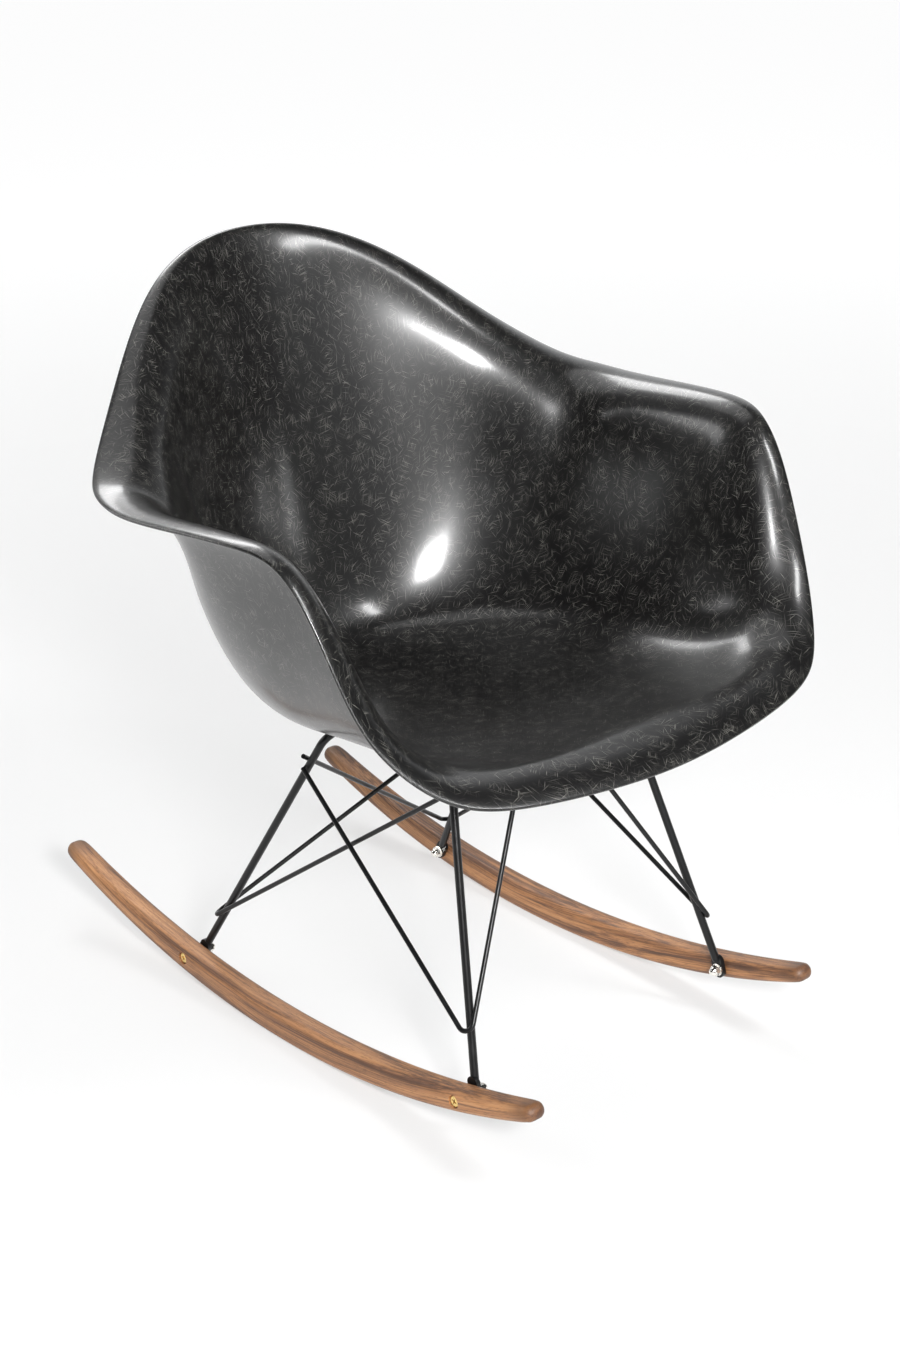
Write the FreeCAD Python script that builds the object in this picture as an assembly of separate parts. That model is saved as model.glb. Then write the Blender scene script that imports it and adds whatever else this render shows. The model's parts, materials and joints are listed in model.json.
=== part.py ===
import FreeCAD, Part
import os
from math import atan2, cos, degrees, hypot, pi, sin
from FreeCAD import Rotation, Vector

# Moulded armchair shell on a wire rocker base.
# Frame: origin on the floor under the middle of the rockers, +Z up, the sitter faces -Y,
# so the sitter's right is -X. Millimetres.

# ---------------------------------------------------------------- driving dimensions
rocker_x = 181.0            # centre plane of each rocker
rocker_thickness = 26.0
rocker_half_length = 374.0
rocker_sole_radius = 1000.0     # the curve it rolls on
rocker_height = 30.0        # at the middle
rocker_nose_radius = 8.0
rocker_soft_edge = 5.0

bolt_front = (-271.6, 50.0)     # y, z of the bolts through each rocker
bolt_rear = (156.4, 29.0)
bolt_radius = 3.0
bolt_head_radius = 5.5
bolt_head_height = 3.2
counterbore_radius = 6.5
counterbore_depth = 4.6
clearance = 0.3             # round a bolt or screw in its hole

rod_radius = 4.0            # leg frames
wire_radius = 2.4           # braces
bend_radius = 18.0          # leg frames, at the top corners
wire_bend_radius = 8.0      # brace elbows
weld_gap = 0.06             # between two round rods that are welded

front_bar = (-187.0, 335.0)     # y, z of the cross runs of the leg frames
rear_bar = (-6.0, 312.0)
front_corner_x = 113.0      # where a leg's line meets its cross run
rear_corner_x = 115.5

tab_thickness = 4.6         # leg end pressed flat against the rocker
tab_width = 13.5
tab_below = 9.0             # past the bolt
tab_above = 15.0

shell_thickness = 4.0
mount_x = 80.0              # rubber mounts, each side of the centre line
mount_outboard = 18.0       # past the cross runs, front and rear
plate_thickness = 2.5
plate_width = 36.0
plate_end = 16.0            # from the mount's centre to the plate's far end
rubber_radius = 19.0
insert_flange_radius = 11.0
insert_flange_height = 2.0
insert_barrel_radius = 6.0
insert_height = 9.0
screw_radius = 3.0
screw_reach = 7.0           # thread above the plate

front, rear = "front", "rear"
sides = {"right": -1, "left": 1}


# ---------------------------------------------------------------- helpers
def export(name, shape):
    os.makedirs("parts", exist_ok=True)
    if shape.isNull() or not shape.isValid():
        raise ValueError(name + " is not a valid shape")
    shape.exportStep("parts/%s.step" % name)
    print("%-28s %2d solid(s) %10.1f mm3" % (name, len(shape.Solids), shape.Volume))


def group(shapes):
    return Part.makeCompound(shapes)


def mirrored(shape):
    """the same piece on the sitter's left"""
    return shape.mirror(Vector(0, 0, 0), Vector(1, 0, 0))


def on_side(shape, side):
    """a piece modelled on the sitter's right, put on the side asked for"""
    return shape if sides[side] < 0 else mirrored(shape)


def unit(v):
    return Vector(v).normalize()


def point_between(a, b, share):
    return a + (b - a) * share


def rod_path(points, bends):
    """straight runs joined by tangent arcs, one bend radius per inner point"""
    edges = []
    start = points[0]
    for before, corner, after, bend in zip(points, points[1:], points[2:], bends):
        into, out = unit(corner - before), unit(after - corner)
        turn = into.getAngle(out)
        setback = bend * sin(turn / 2) / cos(turn / 2)
        first, last = corner - into * setback, corner + out * setback
        inward = unit(out - into)
        middle = corner + inward * (bend / cos(turn / 2) - bend)
        edges.append(Part.LineSegment(start, first).toShape())
        edges.append(Part.Arc(first, middle, last).toShape())
        start = last
    edges.append(Part.LineSegment(start, points[-1]).toShape())
    return Part.Wire(edges)


def bent_rod(points, radius, bends):
    """round rod along such a path"""
    path = rod_path(points, bends)
    section = Part.Wire(Part.makeCircle(radius, points[0], points[1] - points[0]))
    rod = path.makePipeShell([section], True, False)
    print("  rod length %.0f, volume over section x length %.3f"
          % (path.Length, rod.Volume / (pi * radius ** 2 * path.Length)))
    return rod


# ---------------------------------------------------------------- the moulded shell
# Rings of the mould on the sitter's right, from the front lip (station 0) round to the
# middle of the back. The rim has a point at every station, the others where they need one.
rim = [(0, -367, 362), (-100, -361, 366), (-194, -342, 375), (-244, -314, 396), (-274, -280, 436),
       (-288, -251, 490), (-296, -221, 549), (-304, -186, 585), (-313, -140, 593), (-319, -70, 590),
       (-322, 5, 586), (-314, 56, 589), (-291, 95, 601), (-240, 140, 641), (-184, 181, 690),
       (-127, 215, 728), (-64, 238, 750), (0, 246, 756)]
# crest and root of the rolled lip: how far inward from the rim and how far up
lip_crest = {0: (14, 13), 3: (16, 12), 6: (16, 6), 8: (20, 8), 11: (28, 8), 12: (28, 8), 14: (18, 5), 17: (8, 2)}
lip_root = {0: (40, 18), 2: (42, 16), 3: (42, 8), 5: (38, -8), 6: (40, -20), 8: (50, -22), 10: (64, -22),
            11: (76, -22), 12: (82, -24), 13: (64, -34), 15: (38, -46), 17: (24, -56)}
# the wall halfway up, where the wall meets the seat, and the seat pan
wall = {0: (0, -312, 384), 2: (-150, -302, 387), 3: (-194, -274, 396), 5: (-230, -226, 425), 6: (-240, -190, 450),
        8: (-243, -120, 470), 10: (-240, -20, 470), 11: (-231, 28, 472), 12: (-206, 78, 482), 14: (-148, 136, 510),
        17: (0, 184, 530)}
foot = {0: (0, -268, 373), 2: (-120, -268, 374), 5: (-192, -210, 374), 7: (-200, -125, 368), 10: (-192, -20, 358),
        12: (-156, 60, 350), 14: (-97, 118, 346), 17: (0, 142, 344)}
pan = {0: (0, -200, 361), 3: (-110, -195, 362), 7: (-138, -110, 352), 10: (-136, -25, 343), 12: (-110, 40, 338),
       14: (-68, 78, 335), 17: (0, 90, 334)}
pan_centre = (0, -60, 341)
pan_slope = 0.127           # rise towards the front
core_radii = (25, 75)       # flat middle of the pan


def keyed(table, station, signs):
    """smooth value of a keyed table; signs mirror its columns across the centre line"""
    keys = sorted(table)
    top = len(keys) - 1

    def entry(i):
        if i < 0:
            return -keys[-i], [s * v for s, v in zip(signs, table[keys[-i]])]
        if i > top:
            i = 2 * top - i
            return 2 * keys[top] - keys[i], [s * v for s, v in zip(signs, table[keys[i]])]
        return keys[i], table[keys[i]]

    i = 0
    while i < top - 1 and station > keys[i + 1]:
        i += 1
    (ta, pa), (tb, pb), (tc, pc), (td, pd) = entry(i - 1), entry(i), entry(i + 1), entry(i + 2)
    span = tc - tb
    u = (station - tb) / span
    value = []
    for a, b, c, d in zip(pa, pb, pc, pd):
        rise = (c - b) / span
        slope_b = ((b - a) / (tb - ta) * span + rise * (tb - ta)) / (tc - ta)
        slope_c = (rise * (td - tc) + (d - c) / (td - tc) * span) / (td - tb)
        value.append(b * (2 * u ** 3 - 3 * u ** 2 + 1) + c * (3 * u ** 2 - 2 * u ** 3)
                     + span * (slope_b * (u ** 3 - 2 * u ** 2 + u) + slope_c * (u ** 3 - u ** 2)))
    return value


def shell_net():
    """rows of the mould, pan to rim, at each station all the way round"""
    across = (-1, 1, 1)
    even = (1, 1)
    stations = {i: p for i, p in enumerate(rim)}
    last = len(rim) - 1
    columns = []
    for i in range(last + 1):
        edge = keyed(stations, i, across)
        ahead = keyed(stations, min(i + 0.25, last), across)
        behind = keyed(stations, max(i - 0.25, 0), across)
        along = (ahead[0] - behind[0], ahead[1] - behind[1])
        if i in (0, last):
            along = (-1 if i == 0 else 1, 0)
        length = hypot(*along)
        inward = (-along[1] / length, along[0] / length)
        if inward[0] * edge[0] + inward[1] * (edge[1] - pan_centre[1]) > 0:
            inward = (-inward[0], -inward[1])

        def from_rim(table):
            reach, up = keyed(table, i, even)
            return (edge[0] + inward[0] * reach, edge[1] + inward[1] * reach, edge[2] + up)

        low = keyed(foot, i, across)
        out = (low[0] - pan_centre[0], low[1] - pan_centre[1])
        reach = hypot(*out)
        column = [(out[0] / reach * r, pan_centre[1] + out[1] / reach * r,
                   pan_centre[2] - pan_slope * out[1] / reach * r) for r in core_radii]
        column += [tuple(keyed(pan, i, across)), tuple(low), tuple(keyed(wall, i, across)),
                   from_rim(lip_root), from_rim(lip_crest), tuple(edge)]
        columns.append(column)
    other_half = [[(-x, y, z) for x, y, z in columns[i]] for i in range(last - 1, 0, -1)]
    return columns + other_half


def through_points(columns, rounds=12):
    """move the net so that a periodic cubic spline round it passes through the stations"""
    count, rows = len(columns), len(columns[0])
    net = [[list(p) for p in column] for column in columns]
    for _ in range(rounds):
        fixed = []
        for i in range(count):
            a, b, c = net[i - 1], net[i], net[(i + 1) % count]
            fixed.append([[b[j][k] + columns[i][j][k] - (a[j][k] + 4 * b[j][k] + c[j][k]) / 6 for k in range(3)]
                          for j in range(rows)])
        net = fixed
    return net


def spline_surface(net):
    """cubic surface, closed round the net and clamped from its first row to its last"""
    rows = len(net[0])
    poles = [[Vector(*p) for p in column] for column in net]
    spans = rows - 3
    surface = Part.BSplineSurface()
    surface.buildFromPolesMultsKnots(
        poles, [1] * (len(net) + 1), [4] + [1] * (spans - 1) + [4],
        [float(i) for i in range(len(net) + 1)], [float(i) for i in range(spans + 1)], True, False, 3, 3)
    return surface


def shell_grids(per_station=4, rows=40):
    """points of the inner face and of the outer face, one wall thickness away"""
    net = through_points(shell_net())
    surface = spline_surface(net)
    count = len(net)
    around = count * per_station
    spans = len(net[0]) - 3
    upward = 1 if surface.normal(0, 1).z > 0 else -1
    inner, outer = [], []
    for i in range(around):
        inside, outside = [], []
        for j in range(rows):
            u, v = i / per_station, spans * j / (rows - 1)
            point = surface.value(u, v)
            normal = surface.normal(u, v) * upward
            if j == 0:
                normal = unit(Vector(0, pan_slope, 1))
            inside.append(point)
            outside.append(point - normal * shell_thickness)
        inner.append(inside)
        outer.append(outside)
    return inner, outer


def make_shell():
    inner, outer = shell_grids()
    roll = 4 / 3 * shell_thickness / 2      # handle of a half-round edge
    edge = []
    for inside, outside in zip(inner, outer):
        out = unit(inside[-1] - inside[-2])
        edge.append([inside[-1], inside[-1] + out * roll, outside[-1] + out * roll, outside[-1]])
    surfaces = [spline_surface([[tuple(p) for p in column] for column in grid]) for grid in (inner, outer, edge)]
    faces = [s.toShape() for s in surfaces]
    for s in surfaces[:2]:
        faces.append(Part.Face(Part.Wire(s.vIso(0.0).toShape())))
    skin = Part.Compound(faces)
    skin.sewShape(0.001)
    solid = Part.Solid(Part.Shell(skin.Faces))
    if solid.Volume < 0:
        solid.reverse()
    return solid


# ---------------------------------------------------------------- rockers
def rocker_outline(x):
    """sole and top arcs with a round nose tangent to both, at each end"""
    nose_y = rocker_half_length - rocker_nose_radius
    sole_centre_z = rocker_sole_radius
    nose_z = sole_centre_z - ((rocker_sole_radius - rocker_nose_radius) ** 2 - nose_y ** 2) ** 0.5
    rise = nose_z - rocker_height
    top_radius = (nose_y ** 2 + rise ** 2 - rocker_nose_radius ** 2) / (2 * (rocker_nose_radius + rise))
    top_centre_z = rocker_height + top_radius

    def at(y, z):
        return Vector(x, y, z)

    def on_arc(centre_z, radius):
        """end of an arc about the rocker's middle plane, on the line through the nose's centre"""
        reach = hypot(nose_y, nose_z - centre_z)
        return nose_y * radius / reach, centre_z + (nose_z - centre_z) * radius / reach

    sole_y, sole_z = on_arc(sole_centre_z, rocker_sole_radius)
    top_y, top_z = on_arc(top_centre_z, top_radius)
    tip_y = nose_y + rocker_nose_radius
    return Part.Wire([
        Part.Arc(at(-sole_y, sole_z), at(0, 0), at(sole_y, sole_z)).toShape(),
        Part.Arc(at(sole_y, sole_z), at(tip_y, nose_z), at(top_y, top_z)).toShape(),
        Part.Arc(at(top_y, top_z), at(0, rocker_height), at(-top_y, top_z)).toShape(),
        Part.Arc(at(-top_y, top_z), at(-tip_y, nose_z), at(-sole_y, sole_z)).toShape()])


def make_rocker():
    """sitter's right rocker: a curved runner with round noses and soft edges"""
    x = -rocker_x - rocker_thickness / 2
    runner = Part.Face(rocker_outline(x)).extrude(Vector(rocker_thickness, 0, 0))
    long_edges = [e for e in runner.Edges if e.BoundBox.XLength < 0.1]
    runner = runner.makeFillet(rocker_soft_edge, long_edges)
    for y, z in (bolt_front, bolt_rear):
        hole = Part.makeCylinder(bolt_radius + clearance, 60, Vector(x - 10, y, z), Vector(1, 0, 0))
        recess = Part.makeCylinder(counterbore_radius, counterbore_depth + 10, Vector(x - 10, y, z), Vector(1, 0, 0))
        runner = runner.cut(hole).cut(recess)
    return runner


# ---------------------------------------------------------------- leg frames
tab_x = -rocker_x + rocker_thickness / 2 + tab_thickness / 2
bolt_at = {front: Vector(tab_x, *bolt_front), rear: Vector(tab_x, *bolt_rear)}
corner_at = {front: Vector(-front_corner_x, *front_bar), rear: Vector(-rear_corner_x, *rear_bar)}


def leg_point(which, z):
    """point on the axis of the right leg at height z"""
    low, high = bolt_at[which], corner_at[which]
    return point_between(low, high, (z - low.z) / (high.z - low.z))


def flattened_end(which):
    """leg end pressed flat, rounded at its tip, with the bolt's hole"""
    bolt, corner = bolt_at[which], corner_at[which]
    slope = degrees(atan2(corner.y - bolt.y, corner.z - bolt.z))
    half = tab_width / 2
    outer_x = tab_x - tab_thickness / 2
    body = Part.makeBox(tab_thickness, tab_width, tab_below - half + tab_above - half,
                        Vector(outer_x, bolt.y - half, bolt.z - tab_below + half))
    tip = Part.makeCylinder(half, tab_thickness, Vector(outer_x, bolt.y, bolt.z - tab_below + half), Vector(1, 0, 0))
    neck = Part.makeCylinder(half, tab_thickness, Vector(outer_x, bolt.y, bolt.z + tab_above - half), Vector(1, 0, 0))
    tab = body.fuse([tip, neck])
    tab.rotate(bolt, Vector(1, 0, 0), -slope)
    hole = Part.makeCylinder(bolt_radius + clearance, 30, bolt - Vector(15, 0, 0), Vector(1, 0, 0))
    return tab.cut(hole)


def make_leg_frame(which):
    """one rod: leg, cross run, leg, with both ends pressed flat"""
    start = leg_point(which, bolt_at[which].z + tab_above - 4)
    corner = corner_at[which]
    points = [start, corner, Vector(-corner.x, corner.y, corner.z), Vector(-start.x, start.y, start.z)]
    rod = bent_rod(points, rod_radius, [bend_radius, bend_radius])
    ends = [Part.makeSphere(rod_radius - 0.1, points[0]), Part.makeSphere(rod_radius - 0.1, points[-1])]
    tab = flattened_end(which)
    frame = rod.fuse(ends + [tab, mirrored(tab)])
    print("  leg frame to rocker %.2f" % (frame.BoundBox.XMin + rocker_x - rocker_thickness / 2))
    return frame


# ---------------------------------------------------------------- braces
touch = rod_radius + wire_radius + weld_gap     # between the axes of a brace and a leg
rear_brace_side = {"right": -1, "left": 1}      # ends in front of or behind the other rear leg
front_elbow = Vector(-166.1, -264.7, 97)
rear_elbow = Vector(-165.8, 144.4, 70)
front_brace_end_x = 24.0
brace_top_rear_z = 272.0    # front brace on the rear leg
rear_brace_top_z = 278.0    # rear brace on the other rear leg
brace_top_front_z = 316.0
tail = 9.0                  # a rear brace runs this far past the leg it ends on


def beside(axis_point, along, elbow, towards):
    """end of a brace that touches a rod there, on the side given roughly by towards"""
    end = axis_point
    for _ in range(4):
        offset = unit(along.cross(end - elbow)) * touch
        if offset.dot(towards) < 0:
            offset = -offset
        end = axis_point + offset
    return end


def front_brace():
    """sitter's right: front bar, round the front leg, back to the top of the rear leg"""
    bar = beside(Vector(-front_brace_end_x, *front_bar), Vector(1, 0, 0), front_elbow, Vector(0, -1, -1))
    leg = beside(leg_point(rear, brace_top_rear_z), corner_at[rear] - bolt_at[rear], front_elbow, Vector(-1, 0, 0))
    return [bar, front_elbow, leg]


def rear_brace(side):
    """modelled on the right: top of the front leg, round the rear leg, across to the other rear leg"""
    leg = beside(leg_point(front, brace_top_front_z), corner_at[front] - bolt_at[front], rear_elbow, Vector(1, 0, 0))
    near, high = leg_point(rear, rear_brace_top_z), corner_at[rear] - bolt_at[rear]
    far = beside(Vector(-near.x, near.y, near.z), Vector(-high.x, high.y, high.z), rear_elbow,
                 Vector(0, rear_brace_side[side], 0))
    return [leg, rear_elbow, far + unit(far - rear_elbow) * tail]


def make_brace(points):
    return bent_rod(points, wire_radius, [wire_bend_radius])


# ---------------------------------------------------------------- fasteners at the rockers
def make_bolt(which):
    """machine screw with a cross recess, from the rocker's outer face"""
    y, z = bolt_at[which].y, bolt_at[which].z
    seat_x = -rocker_x - rocker_thickness / 2 + counterbore_depth
    head = Part.makeCylinder(bolt_head_radius, bolt_head_height, Vector(seat_x - bolt_head_height, y, z),
                             Vector(1, 0, 0))
    head = head.makeFillet(0.9, [e for e in head.Edges if e.BoundBox.XMax < seat_x - bolt_head_height + 0.1])
    nut_x = tab_x + tab_thickness / 2
    shank = Part.makeCylinder(bolt_radius, nut_x + 7 - seat_x, Vector(seat_x, y, z), Vector(1, 0, 0))
    bolt = head.fuse(shank)
    for angle in (0, 90):
        slot = Part.makeBox(1.8, 1.3, 6, Vector(seat_x - bolt_head_height - 0.2, y - 0.65, z - 3))
        slot.rotate(Vector(0, y, z), Vector(1, 0, 0), angle + 20)
        bolt = bolt.cut(slot)
    return bolt.removeSplitter()


def make_washer(which):
    bolt = bolt_at[which]
    face = Vector(tab_x + tab_thickness / 2, bolt.y, bolt.z)
    ring = Part.makeCylinder(6.4, 1.2, face, Vector(1, 0, 0))
    return ring.cut(Part.makeCylinder(bolt_radius + clearance, 5, face - Vector(1, 0, 0), Vector(1, 0, 0)))


def make_dome_nut(which):
    """hexagon with a domed cap and a blind hole"""
    bolt = bolt_at[which]
    x = tab_x + tab_thickness / 2 + 1.2
    corners = [Vector(x, bolt.y + 5.8 * cos(pi / 3 * i), bolt.z + 5.8 * sin(pi / 3 * i)) for i in range(7)]
    hexagon = Part.Face(Part.makePolygon(corners)).extrude(Vector(5, 0, 0))
    cap = Part.makeSphere(4.7, Vector(x + 5, bolt.y, bolt.z))
    cap = cap.common(Part.makeBox(10, 20, 20, Vector(x + 4.9, bolt.y - 10, bolt.z - 10)))
    hole = Part.makeCylinder(bolt_radius + 0.05, 6.5, Vector(x - 0.1, bolt.y, bolt.z), Vector(1, 0, 0))
    return hexagon.fuse(cap).cut(hole).removeSplitter()


# ---------------------------------------------------------------- mounts under the seat
mount_tilt = degrees(atan2(front_bar[1] - rear_bar[1], rear_bar[0] - front_bar[0]))
mount_normal = Rotation(Vector(1, 0, 0), -mount_tilt).multVec(Vector(0, 0, 1))
mount_rearward = Rotation(Vector(1, 0, 0), -mount_tilt).multVec(Vector(0, 1, 0))


def mount_point(which):
    """where a right mount's axis meets the top of the leg frames' rods"""
    bar = front_bar if which == front else rear_bar
    out = -mount_outboard if which == front else mount_outboard
    return Vector(-mount_x, *bar) + mount_rearward * out + mount_normal * rod_radius


def disc(which, radius, low, high):
    """round body on the mount's axis between two heights above the rods"""
    return Part.makeCylinder(radius, high - low, mount_point(which) + mount_normal * low, mount_normal)


def make_plate(which):
    """steel plate welded on the cross run, with the screw's hole"""
    sign = -1 if which == front else 1
    inboard = mount_outboard + rod_radius + 3
    length = inboard + plate_end
    plate = Part.makeBox(plate_width, length, plate_thickness)
    plate = plate.makeFillet(5, [e for e in plate.Edges if e.BoundBox.ZLength > plate_thickness / 2
                                 and e.BoundBox.XLength < 0.1 and e.BoundBox.YLength < 0.1])
    plate.translate(Vector(-plate_width / 2, -inboard if sign > 0 else -plate_end, 0))
    plate.rotate(Vector(0, 0, 0), Vector(1, 0, 0), -mount_tilt)
    plate.translate(mount_point(which))
    return plate.cut(disc(which, screw_radius + clearance + 0.1, -2, 6))


def make_insert(which):
    """threaded steel insert moulded into the foot of the rubber"""
    flange = disc(which, insert_flange_radius, plate_thickness, plate_thickness + insert_flange_height)
    barrel = disc(which, insert_barrel_radius, plate_thickness, plate_thickness + insert_height)
    hole = disc(which, screw_radius + 0.05, 0, 20)
    return flange.fuse(barrel).cut(hole).removeSplitter()


def make_rubber(which, shell):
    """rubber mount, bonded to the underside of the shell"""
    block = disc(which, rubber_radius, plate_thickness, 26)
    pocket = [disc(which, insert_flange_radius + clearance, 0, plate_thickness + insert_flange_height + clearance),
              disc(which, insert_barrel_radius + clearance, 0, plate_thickness + insert_height + clearance)]
    block = block.cut(pocket).cut(shell)
    return min(block.Solids, key=lambda s: s.CenterOfMass.z)


def make_screw(which):
    """hexagon screw from below, through washer and plate into the insert"""
    under = -rod_radius + 2.4
    shank = disc(which, screw_radius, under, plate_thickness + screw_reach)
    head_low = under - 4
    centre = mount_point(which) + mount_normal * head_low
    turned = [Rotation(mount_normal, 60 * i).multVec(mount_rearward) * 5.8 + centre for i in range(7)]
    head = Part.Face(Part.makePolygon(turned)).extrude(mount_normal * 4)
    return head.fuse(shank).removeSplitter()


def make_screw_washer(which):
    ring = disc(which, 8, -1.6, 0)
    return ring.cut(disc(which, screw_radius + clearance, -3, 2))


# ---------------------------------------------------------------- build
if __name__ == "__main__":
    shell = make_shell()
    export("seat_shell", shell)
    print("shell box", shell.BoundBox)

    rocker = make_rocker()
    for side in sides:
        export("rocker_" + side, on_side(rocker, side))
    for which in (front, rear):
        export(which + "_leg_frame", make_leg_frame(which))
        for side in sides:
            export("mount_plate_%s_%s" % (which, side), on_side(make_plate(which), side))
            export("rubber_mount_%s_%s" % (which, side), on_side(make_rubber(which, shell), side))
            export("threaded_insert_%s_%s" % (which, side), on_side(make_insert(which), side))
    for side in sides:
        export("front_brace_" + side, on_side(make_brace(front_brace()), side))
        export("rear_brace_" + side, on_side(make_brace(rear_brace(side)), side))

    pieces = [(w, s) for w in (front, rear) for s in sides]
    export("rocker_bolts", group([on_side(make_bolt(w), s) for w, s in pieces]))
    export("rocker_washers", group([on_side(make_washer(w), s) for w, s in pieces]))
    export("dome_nuts", group([on_side(make_dome_nut(w), s) for w, s in pieces]))
    export("mount_screws", group([on_side(make_screw(w), s) for w, s in pieces]))
    export("mount_washers", group([on_side(make_screw_washer(w), s) for w, s in pieces]))

    # distances between the axes of rods that meet: at least touch, or two wire radii for two braces
    legs = {w: rod_path([bolt_at[w], corner_at[w]], []) for w in (front, rear)}
    braces = {s: [rod_path(front_brace(), [wire_bend_radius]), rod_path(rear_brace(s), [wire_bend_radius])]
              for s in sides}
    other_side = {w: mirrored(legs[w]) for w in legs}
    for s in sides:
        for name, brace in zip((front, rear), braces[s]):
            print("%s brace %s to legs" % (name, s), ["%.2f" % brace.distToShape(legs[w])[0] for w in legs],
                  "to the other rear leg %.2f" % brace.distToShape(other_side[rear])[0])
        print("side crossing %.2f" % braces[s][0].distToShape(braces[s][1])[0])
    print("rear crossing %.2f" % braces["right"][1].distToShape(mirrored(braces["left"][1]))[0])
    print("rear brace end to the other front brace",
          ["%.2f" % braces[s][1].distToShape(mirrored(braces[s][0]))[0] for s in sides])
    print("touch %.2f, wires %.2f" % (touch, 2 * wire_radius))
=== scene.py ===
import json
import math

import bmesh
import bpy
import numpy as np
from mathutils import Matrix, Vector
from mathutils.bvhtree import BVHTree


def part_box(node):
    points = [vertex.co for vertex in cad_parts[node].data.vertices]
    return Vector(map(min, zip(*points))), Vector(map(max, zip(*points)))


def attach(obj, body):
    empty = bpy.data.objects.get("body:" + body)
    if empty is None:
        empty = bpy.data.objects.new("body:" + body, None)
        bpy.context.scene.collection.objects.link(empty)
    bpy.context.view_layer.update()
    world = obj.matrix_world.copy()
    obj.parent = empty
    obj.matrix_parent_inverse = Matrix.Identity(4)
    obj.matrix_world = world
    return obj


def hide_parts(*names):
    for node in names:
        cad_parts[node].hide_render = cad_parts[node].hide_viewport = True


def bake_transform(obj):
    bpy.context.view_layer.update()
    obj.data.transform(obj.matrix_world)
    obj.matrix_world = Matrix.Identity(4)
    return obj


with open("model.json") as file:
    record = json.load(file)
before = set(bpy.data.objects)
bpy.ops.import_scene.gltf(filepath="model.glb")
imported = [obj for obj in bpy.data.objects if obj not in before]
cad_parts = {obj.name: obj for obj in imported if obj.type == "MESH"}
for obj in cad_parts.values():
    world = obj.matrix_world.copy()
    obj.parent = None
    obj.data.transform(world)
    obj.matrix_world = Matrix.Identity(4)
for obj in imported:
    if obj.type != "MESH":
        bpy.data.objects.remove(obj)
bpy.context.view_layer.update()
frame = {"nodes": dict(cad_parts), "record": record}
print("frame loaded:", len(frame["nodes"]), "nodes")


# shader maths: a socket that can be added, multiplied and compared like a number
class Wire:
    def __init__(self, maker, socket):
        self.maker = maker
        self.socket = socket

    def maths(self, operation, *others, **settings):
        return self.maker.node("ShaderNodeMath", {"operation": operation, **settings}, (self, *others))

    def __add__(self, other):
        return self.maths("ADD", other)

    def __radd__(self, other):
        return self.maths("ADD", other)

    def __sub__(self, other):
        return self.maths("SUBTRACT", other)

    def __rsub__(self, other):
        # a number less this socket, so the socket comes second
        return self.maker.node("ShaderNodeMath", {"operation": "SUBTRACT"}, (other, self))

    def __mul__(self, other):
        return self.maths("MULTIPLY", other)

    def __rmul__(self, other):
        return self.maths("MULTIPLY", other)

    def __pow__(self, other):
        return self.maths("POWER", other)

    def clamped(self):
        return self.maths("ADD", 0.0, use_clamp=True)

    def most(self, other):
        return self.maths("MAXIMUM", other)

    def between(self, low, high):
        # 0 at low and 1 at high, eased at both ends
        return self.maker.node("ShaderNodeMapRange", {"interpolation_type": "SMOOTHSTEP"},
                               {"Value": self, "From Min": low, "From Max": high})


class Maker:
    def __init__(self, name, world=False):
        self.material = (bpy.data.worlds if world else bpy.data.materials).new(name)
        self.material.use_nodes = True
        self.tree = self.material.node_tree
        self.tree.nodes.clear()
        self.out = self.tree.nodes.new("ShaderNodeOutputWorld" if world else "ShaderNodeOutputMaterial")

    def node(self, kind, settings=None, inputs=(), output=0):
        made = self.tree.nodes.new(kind)
        for key, value in (settings or {}).items():
            if key == "stops":
                ramp = made.color_ramp
                while len(ramp.elements) < len(value):
                    ramp.elements.new(0.5)
                for element, (place, colour) in zip(ramp.elements, value):
                    element.position = place
                    element.color = (*colour, 1.0)
            else:
                setattr(made, key, value)
        pairs = inputs.items() if isinstance(inputs, dict) else enumerate(inputs)
        for key, value in pairs:
            if isinstance(value, Wire):
                self.tree.links.new(value.socket, made.inputs[key])
            else:
                made.inputs[key].default_value = value
        return Wire(self, made.outputs[output])

    def place(self, kind="Object"):
        return self.node("ShaderNodeTexCoord", output=kind)

    def split(self, vector):
        parts = self.node("ShaderNodeSeparateXYZ", inputs=(vector,))
        return [Wire(self, s) for s in parts.socket.node.outputs]

    def joined(self, x, y, z):
        return self.node("ShaderNodeCombineXYZ", inputs=(x, y, z))

    def scaled(self, vector, by):
        return self.node("ShaderNodeVectorMath", {"operation": "MULTIPLY"}, (vector, by))

    def moved(self, vector, by):
        return self.node("ShaderNodeVectorMath", {"operation": "ADD"}, (vector, by))

    def noise(self, vector, scale, detail=2.0, roughness=0.5, output="Factor", dimensions="3D"):
        return self.node("ShaderNodeTexNoise", {"noise_dimensions": dimensions},
                         {"Vector": vector, "Scale": scale, "Detail": detail, "Roughness": roughness},
                         output=0 if output == "Factor" else 1)

    def mixed(self, share, a, b):
        return self.node("ShaderNodeMix", {"data_type": "RGBA"}, {0: share, 6: a, 7: b}, output=2)

    def bump(self, height, distance):
        return self.node("ShaderNodeBump", inputs={"Strength": 1.0, "Distance": distance, "Height": height})

    def surface(self, **values):
        shader = self.node("ShaderNodeBsdfPrincipled",
                           inputs={key.replace("_", " "): value for key, value in values.items()})
        self.tree.links.new(shader.socket, self.out.inputs[0])
        return self.material


def rgb(r, g, b):
    return (r, g, b, 1.0)


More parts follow.
